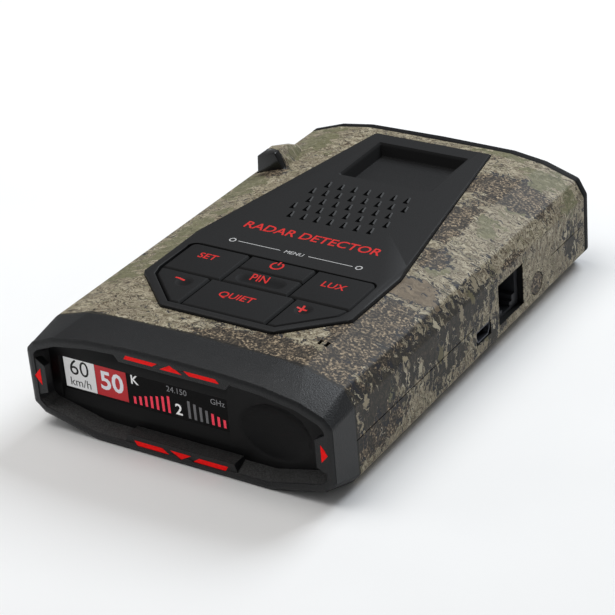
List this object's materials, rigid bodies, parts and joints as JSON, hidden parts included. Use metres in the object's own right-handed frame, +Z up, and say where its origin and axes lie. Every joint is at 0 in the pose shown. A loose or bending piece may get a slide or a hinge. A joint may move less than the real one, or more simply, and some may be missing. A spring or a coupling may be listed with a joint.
{
  "type": "radar detector",
  "caption": "Flat windshield radar detector with a display mouth, top keypad, speaker grille, mount pocket and side ports.",
  "frame": {"origin": "on the resting face under the case, at the middle of its width and length", "axes": "+Z up, -Y out of the display towards the driver, +Y towards the windshield end, +X towards the side with the sockets"},
  "size_m": [0.087, 0.131, 0.0327],
  "materials": {
    "shell_upper": "satin camouflage print on plastic",
    "shell_lower": "satin camouflage print on plastic",
    "black_case": "fine-textured satin black",
    "black_panel": "fine-textured satin black",
    "key_black": "satin black with red legends",
    "fascia_black": "satin black",
    "display_cover": "clear window over a dark display",
    "dark_lens": "infrared-passing dark plastic",
    "light_pipe": "red translucent plastic",
    "display_body": "dark module case",
    "ribbon": "amber film",
    "circuit_board": "green solder mask",
    "chip": "black moulded packages",
    "sensor": "dark green",
    "shield_metal": "tinned sheet",
    "horn_metal": "cast, unpolished",
    "screw_metal": "zinc plated",
    "case_screw_metal": "black oxide",
    "magnet": "nickel plated",
    "ceramic": "ceramic antenna",
    "speaker_body": "paper cone in a dark basket",
    "foam": "foam ring",
    "keypad_rubber": "silicone",
    "jack_plastic": "black socket body",
    "usb_metal": "bright shell",
    "cap_rubber": "camouflage print on rubber"
  },
  "bodies": {
    "case": {"front_bezel": "black_case", "display_fascia": "fascia_black", "display_lens": "display_cover", "display_module": "display_body", "display_ribbon": "ribbon", "light_pipe_top": "light_pipe", "light_pipe_bottom": "light_pipe", "light_pipe_left": "light_pipe", "light_pipe_right": "light_pipe", "upper_shell": "shell_upper", "lower_shell": "shell_lower", "rear_cover": "black_case", "rear_laser_lens": "dark_lens", "rear_laser_sensor": "sensor", "forward_laser_sensor": "sensor", "top_panel": "black_panel", "keypad_mat": "keypad_rubber", "keypad_board": "circuit_board", "keypad_screws": "screw_metal", "speaker": "speaker_body", "speaker_gasket": "foam", "mount_magnets": "magnet", "main_board": "circuit_board", "board_screws": "screw_metal", "board_components": "chip", "rf_shield": "shield_metal", "radio_module": "shield_metal", "gps_antenna": "ceramic", "forward_horn": "horn_metal", "rearward_horn": "horn_metal", "modular_jack": "jack_plastic", "mini_usb_socket": "usb_metal", "earphone_socket": "jack_plastic", "earphone_cap": "cap_rubber", "case_screws": "case_screw_metal"},
    "key_sensitivity": {"key_sensitivity": "key_black"},
    "key_power": {"key_power": "key_black"},
    "key_mark": {"key_mark": "key_black"},
    "key_brightness": {"key_brightness": "key_black"},
    "key_minus": {"key_minus": "key_black"},
    "key_mute": {"key_mute": "key_black"},
    "key_plus": {"key_plus": "key_black"}
  },
  "joints": [
    {"name": "key_sensitivity_press", "type": "slide", "parent": "case", "child": "key_sensitivity", "axis": [0, 0, -1], "range_m": [0, 0.0006], "stiffness_N_per_m": 800},
    {"name": "key_power_press", "type": "slide", "parent": "case", "child": "key_power", "axis": [0, 0, -1], "range_m": [0, 0.0006], "stiffness_N_per_m": 800},
    {"name": "key_mark_press", "type": "slide", "parent": "case", "child": "key_mark", "axis": [0, 0, -1], "range_m": [0, 0.0006], "stiffness_N_per_m": 800},
    {"name": "key_brightness_press", "type": "slide", "parent": "case", "child": "key_brightness", "axis": [0, 0, -1], "range_m": [0, 0.0006], "stiffness_N_per_m": 800},
    {"name": "key_minus_press", "type": "slide", "parent": "case", "child": "key_minus", "axis": [0, 0, -1], "range_m": [0, 0.0006], "stiffness_N_per_m": 800},
    {"name": "key_mute_press", "type": "slide", "parent": "case", "child": "key_mute", "axis": [0, 0, -1], "range_m": [0, 0.0006], "stiffness_N_per_m": 800},
    {"name": "key_plus_press", "type": "slide", "parent": "case", "child": "key_plus", "axis": [0, 0, -1], "range_m": [0, 0.0006], "stiffness_N_per_m": 800}
  ]
}
